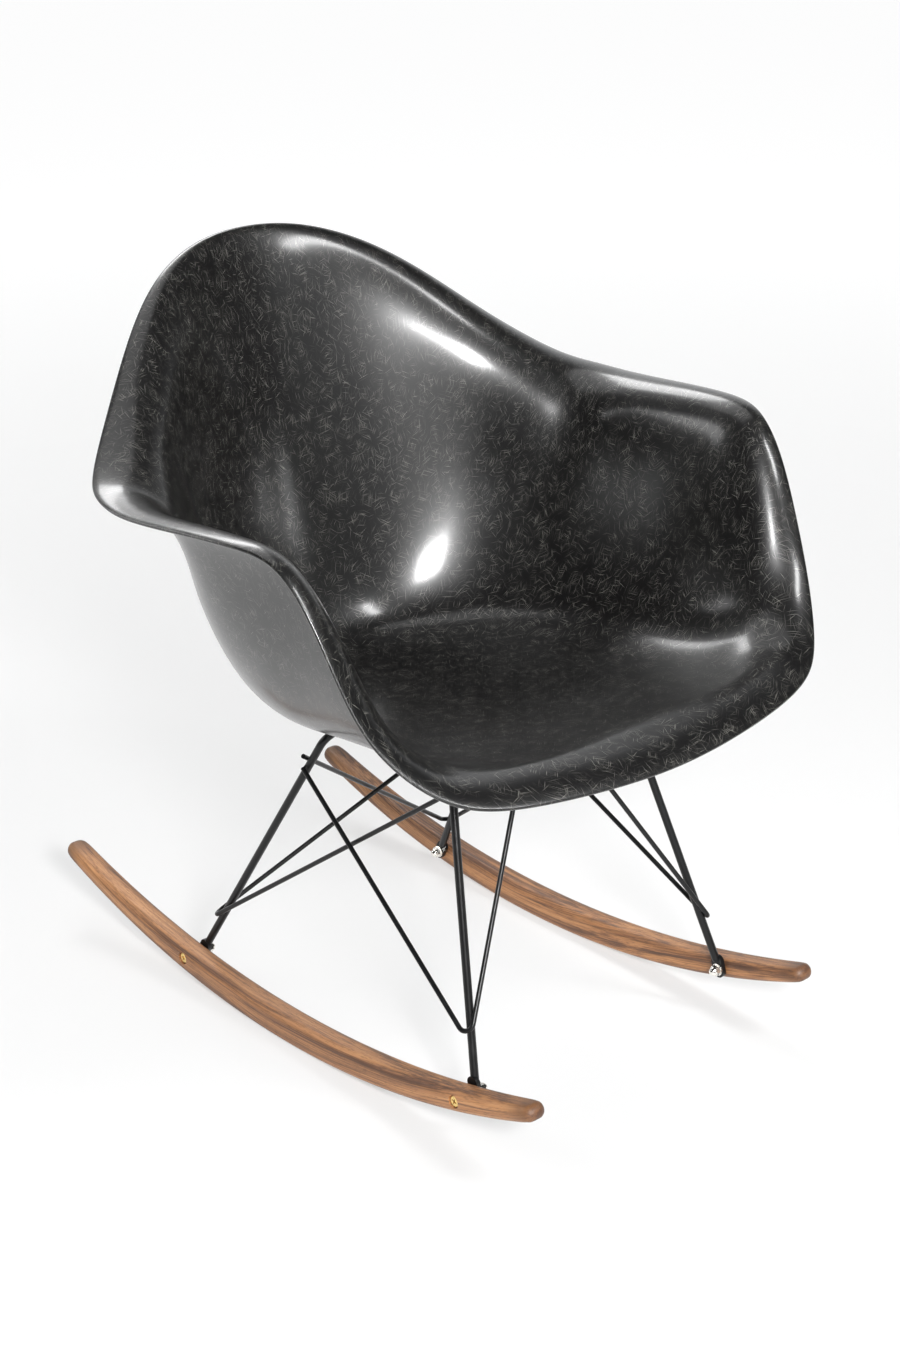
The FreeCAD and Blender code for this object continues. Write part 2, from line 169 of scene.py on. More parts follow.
# materials
fibreFacts = dict(
    resin=rgb(0.0016, 0.0016, 0.0017), haze=rgb(0.0034, 0.0033, 0.0032), strand=rgb(0.195, 0.189, 0.171),
    strandLength=0.030, strandWidth=0.00070, directions=12, share=0.105, waviness=0.00035,
    strandEdge=(0.05, 0.27), strandStart=(1.035, 1.06), cloudPull=0.1,
    waveScale=30.0, cloudScale=14.0, fogScale=650.0, mottleScale=16.0, roughness=0.36, relief=0.000006)


def makeGlassFibre(facts):
    m = Maker("glass_fibre_moulding")
    chart = m.place("UV")
    wander = m.noise(chart, facts["waveScale"], 1.0, output="Color", dimensions="2D")
    wave = m.node("ShaderNodeVectorMath", {"operation": "SUBTRACT"}, (wander, (0.5, 0.5, 0.5)))
    bent = m.moved(chart, m.scaled(wave, (facts["waviness"] * 2, facts["waviness"] * 2, 0.0)))
    # the share of strands that show drifts in clouds, as they were blown on
    clouds = m.noise(chart, facts["cloudScale"], 3.0, 0.6, dimensions="2D")
    start, full = (edge - facts["share"] for edge in facts["strandStart"])
    strands = None
    for i in range(facts["directions"]):
        angle = math.pi * (i + 0.37 * (i % 3)) / facts["directions"]
        size = 0.6 + 0.2 * ((i * 5) % 4)
        turned = m.node("ShaderNodeMapping", {"vector_type": "POINT"},
                        {"Vector": bent, "Location": (0.31 * i + 0.2, 0.17 * i + 0.4, 0.0),
                         "Rotation": (0.0, 0.0, angle)})
        cellScale = (1 / (facts["strandLength"] * size), 1 / facts["strandWidth"], 1.0)
        cells = m.node("ShaderNodeTexVoronoi", {"voronoi_dimensions": "2D", "feature": "F1"},
                       {"Vector": m.scaled(turned, cellScale), "Scale": 1.0, "Randomness": 1.0})
        chance, light, _ = m.split(Wire(m, cells.socket.node.outputs["Color"]))
        there = (chance + clouds * facts["cloudPull"]).between(start, full)
        mark = (1.0 - cells.between(*facts["strandEdge"])) * there * (0.1 + 0.9 * light * light * light)
        strands = mark if strands is None else strands.most(mark)
    fog = m.noise(chart, facts["fogScale"], 3.0, 0.7, dimensions="2D").between(0.35, 0.8)
    mottle = m.noise(chart, facts["mottleScale"], 5.0, 0.65, dimensions="2D").between(0.3, 0.75)
    ground = m.mixed(fog * 0.75 + mottle * 0.25, facts["resin"], facts["haze"])
    colour = m.mixed(strands.clamped(), ground, facts["strand"])
    polish = facts["roughness"] + 0.03 * mottle + 0.04 * strands
    return m.surface(Base_Color=colour, Roughness=polish, IOR=1.5, Specular_IOR_Level=0.31,
                     Coat_Weight=0.50, Coat_Roughness=0.16, Coat_IOR=1.5,
                     Normal=m.bump(strands * 0.6 + fog * 0.5, facts["relief"]))


walnutFacts = dict(
    pale=(0.47, 0.238, 0.100), mid=(0.290, 0.130, 0.050), dark=(0.115, 0.050, 0.023),
    vein=(0.045, 0.020, 0.011), toneRange=(0.34, 0.74), poreLength=0.012, poreWidth=0.00035,
    poreEdge=(0.10, 0.36), roughness=0.42, soleRadius=1.0, tipShade=(0.345, 0.384))


def makeWalnut(facts):
    m = Maker("oiled_walnut")
    x, y, z = m.split(m.place())
    # along follows the curve of the runner, across is the height above its sole
    fall = facts["soleRadius"] - z
    along = y.maths("ARCTAN2", fall) * facts["soleRadius"]
    across = facts["soleRadius"] - (y * y + fall * fall) ** 0.5
    side = x.maths("SIGN") * 0.7
    grain = m.joined(along, x + side, across)
    drift = m.noise(m.scaled(grain, (2.2, 9.0, 9.0)), 1.0, 2.0) - 0.5
    rings = m.joined(along * 0.55, x * 3.0 + side + drift * 0.10, across * 5.0 + drift * 0.16 + along * 0.05)
    broad = m.noise(m.scaled(rings, (2.6, 22.0, 22.0)), 1.0, 4.0, 0.55)
    fine = m.noise(m.scaled(rings, (7.0, 150.0, 150.0)), 1.0, 5.0, 0.65)
    fibre = m.noise(m.scaled(grain, (40.0, 1500.0, 1500.0)), 1.0, 3.0, 0.6)
    tone = (broad * 0.50 + fine * 0.44 + fibre * 0.12).between(*facts["toneRange"])
    stops = [(0.0, facts["vein"]), (0.26, facts["dark"]), (0.55, facts["mid"]), (1.0, facts["pale"])]
    wood = m.node("ShaderNodeValToRGB", {"stops": stops}, (tone,))
    poreScale = (1 / facts["poreLength"], 1 / facts["poreWidth"] / 3, 1 / facts["poreWidth"] / 3)
    cells = m.node("ShaderNodeTexVoronoi", {"feature": "F1"},
                   {"Vector": m.scaled(grain, poreScale), "Scale": 1.0})
    pores = 1.0 - cells.between(*facts["poreEdge"])
    tips = along.maths("ABSOLUTE").between(*facts["tipShade"]) * (fine * 1.5 - 0.15).clamped()
    colour = m.mixed((pores * 0.55).most(tips), wood, (*facts["vein"], 1.0))
    return m.surface(Base_Color=colour, Roughness=facts["roughness"] + 0.16 * fine + 0.1 * pores, IOR=1.46,
                     Normal=m.bump(fibre * 0.5 - pores, 0.00012))


paintFacts = dict(colour=rgb(0.0035, 0.0035, 0.0038), worn=rgb(0.011, 0.011, 0.0115), roughness=0.33)


def makePaint(facts):
    m = Maker("satin_black_paint")
    spot = m.place()
    peel = m.noise(spot, 900.0, 2.0)
    wear = m.noise(spot, 60.0, 5.0, 0.6).between(0.45, 0.8)
    return m.surface(Base_Color=m.mixed(wear * 0.5, facts["colour"], facts["worn"]),
                     Roughness=facts["roughness"] + 0.12 * wear, IOR=1.36, Normal=m.bump(peel, 0.00005))


def makeMetal(name, base, tarnish, roughness, spots):
    m = Maker(name)
    spot = m.place()
    stain = m.noise(spot, spots, 5.0, 0.6).between(0.4, 0.75)
    scratch = m.noise(m.scaled(spot, (400.0, 2500.0, 2500.0)), 1.0, 2.0)
    return m.surface(Base_Color=m.mixed(stain, base, tarnish), Metallic=1.0,
                     Roughness=roughness + 0.14 * stain + 0.1 * scratch, Normal=m.bump(scratch, 0.00002))


def makeRubber():
    m = Maker("black_rubber")
    spot = m.place()
    dust = m.noise(spot, 130.0, 5.0, 0.65)
    colour = m.mixed(dust.between(0.4, 0.8), rgb(0.010, 0.010, 0.010), rgb(0.035, 0.034, 0.032))
    return m.surface(Base_Color=colour, Roughness=0.62 + 0.2 * dust, Normal=m.bump(dust, 0.0002))


fibreMaterial = makeGlassFibre(fibreFacts)
walnut = makeWalnut(walnutFacts)
paint = makePaint(paintFacts)
brass = makeMetal("yellow_passivated_steel", rgb(0.78, 0.57, 0.22), rgb(0.52, 0.34, 0.12), 0.24, 500.0)
nickel = makeMetal("bright_nickel", rgb(0.80, 0.78, 0.74), rgb(0.62, 0.59, 0.54), 0.10, 500.0)
zinc = makeMetal("zinc_plated_steel", rgb(0.62, 0.63, 0.65), rgb(0.42, 0.42, 0.42), 0.30, 400.0)
rubber = makeRubber()
finishes = {"shell": fibreMaterial, "walnut": walnut, "black_paint": paint, "brass": brass, "nickel": nickel,
            "rubber": rubber, "zinc_steel": zinc}
print("materials made")


def newPiece(name, verts, faces, material, body):
    mesh = bpy.data.meshes.new(name)
    mesh.from_pydata([tuple(v) for v in verts], [], faces)
    mesh.update()
    piece = bpy.data.objects.new(name, mesh)
    bpy.context.scene.collection.objects.link(piece)
    mesh.materials.append(material)
    finishPiece(piece, body)
    return piece


def finishPiece(piece, body, angle=40.0):
    mesh = piece.data
    solid = bmesh.new()
    solid.from_mesh(mesh)
    bmesh.ops.remove_doubles(solid, verts=solid.verts, dist=1e-7)
    bmesh.ops.recalc_face_normals(solid, faces=solid.faces)
    solid.to_mesh(mesh)
    solid.free()
    for polygon in mesh.polygons:
        polygon.use_smooth = True
    mesh.set_sharp_from_angle(angle=math.radians(angle))
    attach(piece, body)


# the moulded shell. The mould's rings, in millimetres, on the sitter's right, from the
# front lip (station 0) round to the middle of the back (station 17)
shellMould = dict(
    rim=[(0, -367, 362), (-100, -361, 366), (-194, -342, 375), (-244, -314, 396), (-274, -280, 436),
         (-288, -251, 490), (-296, -221, 549), (-304, -186, 585), (-313, -140, 593), (-319, -70, 590),
         (-322, 5, 586), (-314, 56, 589), (-291, 95, 601), (-240, 140, 641), (-184, 181, 690),
         (-127, 215, 728), (-64, 238, 750), (0, 246, 756)],
    # crest and root of the rolled lip: how far inward from the rim and how far up
    lipCrest={0: (14, 13), 3: (16, 12), 6: (16, 6), 8: (20, 8), 11: (28, 8), 12: (28, 8),
              14: (18, 5), 17: (8, 2)},
    lipRoot={0: (40, 18), 2: (42, 16), 3: (42, 8), 5: (38, -8), 6: (40, -20), 8: (50, -22), 10: (64, -22),
             11: (76, -22), 12: (82, -24), 13: (64, -34), 15: (38, -46), 17: (24, -56)},
    wall={0: (0, -312, 384), 2: (-150, -302, 387), 3: (-194, -274, 396), 5: (-230, -226, 425),
          6: (-240, -190, 450), 8: (-243, -120, 470), 10: (-240, -20, 470), 11: (-231, 28, 472),
          12: (-206, 78, 482), 14: (-148, 136, 510), 17: (0, 184, 530)},
    foot={0: (0, -268, 373), 2: (-120, -268, 374), 5: (-192, -210, 374), 7: (-200, -125, 368),
          10: (-192, -20, 358), 12: (-156, 60, 350), 14: (-97, 118, 346), 17: (0, 142, 344)},
    pan={0: (0, -200, 361), 3: (-110, -195, 362), 7: (-138, -110, 352), 10: (-136, -25, 343),
         12: (-110, 40, 338), 14: (-68, 78, 335), 17: (0, 90, 334)},
    panCentre=(0, -60, 341), panSlope=0.127, coreRadii=(25, 75),
    coreShares=(0.35, 0.7), chartApart=2.0,
    thickness=4.0, perStation=12, innerRows=78, outerRows=52, edgeRows=6)


def keyed(table, station, signs):
    # smooth value of a keyed table; signs mirror its columns across the centre line
    keys = sorted(table)
    top = len(keys) - 1

    def entry(i):
        if i < 0:
            return -keys[-i], [s * v for s, v in zip(signs, table[keys[-i]])]
        if i > top:
            i = 2 * top - i
            return 2 * keys[top] - keys[i], [s * v for s, v in zip(signs, table[keys[i]])]
        return keys[i], table[keys[i]]

    i = 0
    while i < top - 1 and station > keys[i + 1]:
        i += 1
    (ta, pa), (tb, pb), (tc, pc), (td, pd) = (entry(i + k) for k in (-1, 0, 1, 2))
    pa, pb, pc, pd = (np.array(p, float) for p in (pa, pb, pc, pd))
    span = tc - tb
    u = (station - tb) / span
    rise = (pc - pb) / span
    slopeB = ((pb - pa) / (tb - ta) * span + rise * (tb - ta)) / (tc - ta)
    slopeC = (rise * (td - tc) + (pd - pc) / (td - tc) * span) / (td - tb)
    return (pb * (2 * u ** 3 - 3 * u ** 2 + 1) + pc * (3 * u ** 2 - 2 * u ** 3)
            + span * (slopeB * (u ** 3 - 2 * u ** 2 + u) + slopeC * (u ** 3 - u ** 2)))


def shellNet(facts):
    across, even = (-1, 1, 1), (1, 1)
    stations = dict(enumerate(facts["rim"]))
    last = len(stations) - 1
    centre = np.array(facts["panCentre"], float)
    nudge = 0.25
    columns = []
    for i in range(last + 1):
        edge = keyed(stations, i, across)
        before = keyed(stations, max(i - nudge, 0), across)
        after = keyed(stations, min(i + nudge, last), across)
        along = (after - before)[:2]
        if i in (0, last):
            along = np.array([-1.0 if i == 0 else 1.0, 0.0])
        along = along / np.hypot(*along)
        inward = np.array([-along[1], along[0]])
        if inward @ (edge[:2] - centre[:2]) > 0:
            inward = -inward

        def fromRim(table):
            reach, up = keyed(table, i, even)
            return [*(edge[:2] + inward * reach), edge[2] + up]

        low = keyed(facts["foot"], i, across)
        out = (low - centre)[:2] / np.hypot(*(low - centre)[:2])
        core = [[*(centre[:2] + out * r), centre[2] - facts["panSlope"] * out[1] * r]
                for r in facts["coreRadii"]]
        columns.append([*core, keyed(facts["pan"], i, across), low, keyed(facts["wall"], i, across),
                        fromRim(facts["lipRoot"]), fromRim(facts["lipCrest"]), edge])
    columns = np.array(columns, float)
    return np.concatenate([columns, columns[last - 1:0:-1] * [-1, 1, 1]])


def throughPoints(columns, rounds=12):
    # moves the net so that a periodic cubic spline round it passes through the stations
    net = columns.copy()
    for _ in range(rounds):
        net += columns - (np.roll(net, 1, 0) + 4 * net + np.roll(net, -1, 0)) / 6
    return net


def aroundWeights(count, u):
    # periodic cubic spline round the net: one row of weights for each u
    weights = np.zeros((len(u), count))
    base = np.floor(u).astype(int)
    f = u - base
    shares = [(1 - f) ** 3 / 6, (3 * f ** 3 - 6 * f ** 2 + 4) / 6,
              (-3 * f ** 3 + 3 * f ** 2 + 3 * f + 1) / 6, f ** 3 / 6]
    for k, share in enumerate(shares):
        np.add.at(weights, (np.arange(len(u)), (base + k - 1) % count), share)
    return weights


def acrossWeights(rows, v):
    # clamped cubic spline from the first row to the last
    spans = rows - 3
    knots = [0.0] * 3 + list(range(spans + 1)) + [float(spans)] * 3
    v = np.clip(v, 0, spans - 1e-9)
    basis = [((v >= knots[i]) & (v < knots[i + 1])).astype(float) for i in range(len(knots) - 1)]
    for degree in (1, 2, 3):
        raised = []
        for i in range(len(knots) - 1 - degree):
            value = np.zeros_like(v)
            if knots[i + degree] > knots[i]:
                value = value + (v - knots[i]) / (knots[i + degree] - knots[i]) * basis[i]
            after = knots[i + degree + 1]
            if after > knots[i + 1]:
                value = value + (after - v) / (after - knots[i + 1]) * basis[i + 1]
            raised.append(value)
        basis = raised
    return np.stack(basis, 1)


def surfaceGrid(net, u, v):
    # points and upward unit normals of the mould's face
    def points(u, v):
        return np.einsum("ua,vb,abk->uvk", aroundWeights(len(net), u), acrossWeights(net.shape[1], v), net)

    step = 0.01
    spans = net.shape[1] - 3
    du = points(u + step, v) - points(u - step, v)
    dv = points(u, np.minimum(v + step, spans)) - points(u, np.maximum(v - step, 0))
    normal = np.cross(du, dv)
    normal /= np.linalg.norm(normal, axis=2)[..., None]
    return points(u, v), normal * np.sign(normal[0, 1, 2])


def makeShell(facts):
    net = throughPoints(shellNet(facts))
    count = len(net) * facts["perStation"]
    u = np.arange(count) / facts["perStation"]
    spans = net.shape[1] - 3
    thickness = facts["thickness"]
    inner, innerNormal = surfaceGrid(net, u, np.linspace(0, spans, facts["innerRows"]))
    outer, outerNormal = surfaceGrid(net, u, np.linspace(0, spans, facts["outerRows"]))
    outer = outer - outerNormal * thickness
    out = inner[:, -1] - inner[:, -2]
    out /= np.linalg.norm(out, axis=1)[:, None]
    middle = inner[:, -1] - innerNormal[:, -1] * thickness / 2
    turns = np.linspace(0, math.pi, facts["edgeRows"] + 2)[1:-1]
    edge = np.stack([middle + (innerNormal[:, -1] * math.cos(t) + out * math.sin(t)) * thickness / 2
                     for t in turns], 1)

    centre = np.array(facts["panCentre"], float)
    down = np.array([0, facts["panSlope"], 1]) / math.hypot(facts["panSlope"], 1) * thickness
    core = np.stack([centre + (inner[:, 0] - centre) * s for s in facts["coreShares"]], 1)
    lowCentre = centre - down
    lowCore = np.stack([lowCentre + (outer[:, 0] - lowCentre) * s for s in facts["coreShares"][::-1]], 1)
    rings = np.concatenate([core, inner, edge, outer[:, ::-1], lowCore], 1)
    low, high = (np.array(c) * 1000 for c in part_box("seat_shell"))
    rings = np.clip(rings, low, high)
    rows = rings.shape[1]

    # chart of the surface: distance from the middle of the pan, and direction, with the
    # underside's chart beside the top's
    apart = facts["chartApart"]
    steps = np.linalg.norm(np.diff(rings, axis=1), axis=2)
    reach = np.concatenate([np.linalg.norm(rings[:, :1] - centre, axis=2), steps], 1).cumsum(1)
    direction = (inner[:, 0] - centre)[:, :2]
    direction /= np.linalg.norm(direction, axis=1)[:, None]
    half = core.shape[1] + len(inner[0]) + len(edge[0])
    back = np.linalg.norm(np.diff(rings[:, ::-1], axis=1), axis=2).cumsum(1)[:, ::-1]
    back = np.concatenate([back, np.zeros((count, 1))], 1)
    back = back + np.linalg.norm(rings[:, -1:] - lowCentre, axis=2)
    chart = reach[..., None] * direction[:, None] / 1000
    chart[:, half:] = back[:, half:, None] * direction[:, None] / 1000 + [apart, 0.0]

    verts = np.concatenate([rings.reshape(-1, 3), [centre, lowCentre]]) / 1000
    flat = np.concatenate([chart.reshape(-1, 2), [[0, 0], [apart, 0]]])
    top, bottom = count * rows, count * rows + 1
    faces = []
    for i in range(count):
        j = (i + 1) % count
        faces.append((top, i * rows, j * rows))
        for r in range(rows - 1):
            faces.append((i * rows + r, i * rows + r + 1, j * rows + r + 1, j * rows + r))
        faces.append((bottom, j * rows + rows - 1, i * rows + rows - 1))
    piece = newPiece("moulded_shell", verts, faces, fibreMaterial, "shell")
    layer = piece.data.uv_layers.new(name="chart")
    corners = np.zeros(len(piece.data.loops), np.int32)
    piece.data.loops.foreach_get("vertex_index", corners)
    values = flat[corners]
    # a face that joins the two sides of the chart stays on one of them
    starts = np.zeros(len(piece.data.polygons), np.int32)
    totals = np.zeros(len(piece.data.polygons), np.int32)
    piece.data.polygons.foreach_get("loop_start", starts)
    piece.data.polygons.foreach_get("loop_total", totals)
    for s, t in zip(starts, totals):
        block = values[s:s + t]
        if np.ptp(block[:, 0]) > apart / 2:
            far = block[:, 0] > apart / 2
            near = block[~far].mean(0)
            block[far] = near
    layer.data.foreach_set("uv", values.astype(np.float32).ravel())
    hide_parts("seat_shell")
    return piece


shell = makeShell(shellMould)
print("shell made:", len(shell.data.polygons), "faces")


# rockers: curved runners with round noses and soft edges
rockerFacts = dict(
    width=0.026, soleRadius=1.0, height=0.030, noseRadius=0.008, halfLength=0.374, softEdge=0.0075,
    softLimit=0.98, planNose=0.020, planPower=2.6, tipWidth=0.45, noseSteps=9, recessRadius=0.0065,
    recessDepth=0.0046, holeRadius=0.0033, holeSides=48, cutReach=0.01, stations=150, corner=6)


def rockerSection(facts, share):
    # the lowest and highest points of the section at a share of the way to the nose, and
    # the direction to it from the centre of the sole's curve
    noseY = facts["halfLength"] - facts["noseRadius"]
    sole = facts["soleRadius"]
    noseZ = sole - math.sqrt((sole - facts["noseRadius"]) ** 2 - noseY ** 2)
    rise = noseZ - facts["height"]
    top = (noseY ** 2 + rise ** 2 - facts["noseRadius"] ** 2) / (2 * (facts["noseRadius"] + rise))
    topCentre = facts["height"] + top
    angle = share * math.atan2(noseY, sole - noseZ)
    out = Vector((0, math.sin(angle), -math.cos(angle)))
    low = Vector((0, 0, sole)) + out * sole
    # the ray from the sole's centre meets the top arc
    gap = topCentre - sole
    dot = out.z * gap
    high = Vector((0, 0, sole)) + out * (dot + math.sqrt(dot * dot - gap * gap + top * top))
    return low, high, out


def rockerNose(facts, sign):
    # the last full section at one end, and the direction in which the nose runs on from it
    low, high, out = rockerSection(facts, sign)
    return low, high, out, Vector((0, -out.z, out.y)) * sign


def rockerMesh(name, x, facts):
    verts, faces = [], []
    ring = 4 * (facts["corner"] + 1)
    noseLength = facts["noseRadius"]
    sections = [(*rockerSection(facts, s), Vector(), 1.0) for s in np.linspace(-1, 1, facts["stations"])]
    turns = [math.pi / 2 * k / facts["noseSteps"] for k in range(facts["noseSteps"] - 1, 0, -1)]
    for sign in (-1, 1):
        low, high, out, ahead = rockerNose(facts, sign)
        tips = [(low, high, out, ahead * (noseLength * math.sin(t)), math.cos(t)) for t in turns]
        sections = tips + sections if sign < 0 else sections + tips[::-1]
    for low, high, out, shift, size in sections:
        middle = (low + high) / 2 + shift
        up = -out
        halfHeight = (high - low).length / 2 * size
        toTip = min(facts["planNose"], max(0.0, facts["halfLength"] - abs(middle.y)))
        plan = math.sqrt(max(0.0, 1 - (1 - toTip / facts["planNose"]) ** facts["planPower"]))
        plan = facts["tipWidth"] + (1 - facts["tipWidth"]) * plan
        halfWidth = facts["width"] / 2 * plan * math.sqrt(size)
        soft = min(facts["softEdge"], halfHeight * facts["softLimit"], halfWidth * facts["softLimit"])
        for quarter in range(4):
            cx = (halfWidth - soft) * (1 if quarter in (0, 3) else -1)
            cz = (halfHeight - soft) * (1 if quarter in (0, 1) else -1)
            for k in range(facts["corner"] + 1):
                a = math.pi / 2 * (quarter + k / facts["corner"])
                aside = Vector((x + cx + soft * math.cos(a), 0, 0))
                verts.append(middle + aside + up * (cz + soft * math.sin(a)))
    for i in range(len(sections) - 1):
        for k in range(ring):
            a, b = i * ring + k, i * ring + (k + 1) % ring
            faces.append((a, b, b + ring, a + ring))
    for i, sign in ((0, -1), (len(sections) - 1, 1)):
        low, high, _, ahead = rockerNose(facts, sign)
        tip = (low + high) / 2 + ahead * noseLength + Vector((x, 0, 0))
        verts.append(tip)
        for k in range(ring):
            faces.append((len(verts) - 1, i * ring + (k + 1) % ring, i * ring + k))
    body = bpy.data.meshes.new(name)
    body.from_pydata([tuple(v) for v in verts], [], faces)
    solid = bmesh.new()
    solid.from_mesh(body)
    bmesh.ops.recalc_face_normals(solid, faces=solid.faces)
    solid.to_mesh(body)
    solid.free()
    return body


def cutterMesh(name, x, outward, facts):
    # recesses on the outer face and holes right through, one pair for each bolt on this side
    cutters = bmesh.new()
    for centre in boltCentres(outward):
        face = x + outward * facts["width"] / 2
        for radius, depth in ((facts["recessRadius"], facts["recessDepth"]),
                              (facts["holeRadius"], facts["width"] + facts["cutReach"])):
            length = facts["cutReach"] + depth
            at = Vector((face + outward * (facts["cutReach"] - length / 2), centre.y, centre.z))
            bmesh.ops.create_cone(cutters, cap_ends=True, segments=facts["holeSides"], radius1=radius,
                                  radius2=radius, depth=length,
                                  matrix=Matrix.Translation(at) @ Matrix.Rotation(math.pi / 2, 4, "Y"))
    cut = bpy.data.meshes.new(name + "_cut")
    cutters.to_mesh(cut)
    cutters.free()
    return cut


def makeRocker(name, x, outward, facts):
    runner = bpy.data.objects.new(name, rockerMesh(name, x, facts))
    cutter = bpy.data.objects.new(name + "_cut", cutterMesh(name, x, outward, facts))
    for solid in (runner, cutter):
        bpy.context.scene.collection.objects.link(solid)
    cut = runner.modifiers.new("recess", "BOOLEAN")
    cut.operation = "DIFFERENCE"
    cut.solver = "EXACT"
    cut.use_self = True
    cut.object = cutter
    done = bpy.data.meshes.new_from_object(runner.evaluated_get(bpy.context.evaluated_depsgraph_get()))
    bpy.data.objects.remove(runner)
    bpy.data.objects.remove(cutter)
    done.name = name
    piece = bpy.data.objects.new(name, done)
    bpy.context.scene.collection.objects.link(piece)
    done.materials.clear()
    done.materials.append(walnut)
    finishPiece(piece, "base", 50.0)
    return piece


def clusters(node, gap):
    # the separate solids of a CAD node, as lists of points; solids are further apart than the gap
    points = [v.co.copy() for v in frame["nodes"][node].data.vertices]
    groups = []
    for p in points:
        near = [g for g in groups if any((p - q).length < gap for q in g[:1] + g[-1:])]
        if near:
            near[0].append(p)
        else:
            groups.append([p])
    return groups


def boltCentres(outward):
    # middle of each bolt's head on one side of the chair
    found = []
    for group in clusters("rocker_bolts", 0.05):
        if group[0].x * outward > 0:
            low = [min(p[k] for p in group) for k in range(3)]
            high = [max(p[k] for p in group) for k in range(3)]
            found.append(Vector([(a + b) / 2 for a, b in zip(low, high)]))
    return found


for side, outward in (("right", -1), ("left", 1)):
    node = "rocker_" + side
    low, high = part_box(node)
    runner = makeRocker("walnut_rocker_" + side, (low.x + high.x) / 2, outward, rockerFacts)
    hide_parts(node)
print("rockers made")


# rubber mounts: each is sliced level into rings from just above its threaded insert up to its top
mountFacts = dict(cuts=8, clearOfInsert=0.0008, bondedTop=0.45, sharpAngle=35.0)


def makeMount(node, facts):
    name = node.replace("rubber_mount", "shock_mount")
    solid = bmesh.new()
    solid.from_mesh(frame["nodes"][node].data)
    bmesh.ops.remove_doubles(solid, verts=solid.verts, dist=1e-6)
    low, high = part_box(node)
    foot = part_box(node.replace("rubber_mount", "threaded_insert"))[1].z + facts["clearOfInsert"]
    for k in range(facts["cuts"] + 1):
        z = foot + (high.z - foot) * k / (facts["cuts"] + 1)
        bmesh.ops.bisect_plane(solid, geom=solid.verts[:] + solid.edges[:] + solid.faces[:], dist=1e-7,
                               plane_co=(0, 0, z), plane_no=(0, 0, 1))
    bmesh.ops.triangulate(solid, faces=solid.faces[:])
    mesh = bpy.data.meshes.new(name)
    solid.to_mesh(mesh)
    solid.free()
    mesh.materials.append(rubber)
    for polygon in mesh.polygons:
        polygon.use_smooth = True
    mesh.set_sharp_from_angle(angle=math.radians(facts["sharpAngle"]))
    piece = bpy.data.objects.new(name, mesh)
    bpy.context.scene.collection.objects.link(piece)
    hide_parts(node)
    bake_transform(piece)


for name in sorted(frame["nodes"]):
    if name.startswith("rubber_mount"):
        makeMount(name, mountFacts)
print("mounts made")

# the steel pieces keep their CAD shapes
slotOf = {row["node"]: row["material_slot"] for row in frame["record"]["subparts"]}
for name, piece in frame["nodes"].items():
    if piece.hide_render:
        continue
    piece.data.materials.clear()
    piece.data.materials.append(finishes[slotOf[name]])


# welds: a bead wherever two of the painted rods or plates touch
weldFacts = dict(beadLength=0.0044, beadWidth=0.0023, beadDetail=4, lengthSpread=(0.85, 1.2),
                 ripple=0.0005, rippleScale=420.0, step=0.001, reach=0.00045, apart=0.014,
                 plateSink=0.0014, seed=7)


def contactPoints(first, second, facts):
    # middle and direction of each place where the surface of the first node meets the second
    a, b = (frame["nodes"][name].data for name in (first, second))
    tree = BVHTree.FromPolygons([v.co for v in b.vertices], [p.vertices for p in b.polygons])
    low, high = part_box(second)
    reach = facts["reach"]
    near = []
    for edge in a.edges:
        p, q = (a.vertices[k].co for k in edge.vertices)
        if any(max(p[n], q[n]) < low[n] - reach or min(p[n], q[n]) > high[n] + reach for n in range(3)):
            continue
        count = max(1, int((q - p).length / facts["step"]))
        for k in range(count):
            spot = p.lerp(q, k / count)
            if all(low[n] - reach < spot[n] < high[n] + reach for n in range(3)):
                if tree.find_nearest(spot, reach)[0] is not None:
                    near.append((spot, (q - p).normalized() * (1 if (q - p).y > 0 else -1), (q - p).length))
    groups = []
    for spot, along, length in sorted(near, key=lambda n: (round(abs(n[0].x), 4), n[0].y, n[0].z)):
        home = next((g for g in groups if (g[0][0] - spot).length < facts["apart"]), None)
        if home is None:
            groups.append([(spot, along, length)])
        else:
            home.append((spot, along, length))
    found = []
    for group in groups:
        middle = sum((g[0] for g in group), Vector()) / len(group)
        longest = max(group, key=lambda g: g[2])
        found.append((middle, longest[1]))
    return found


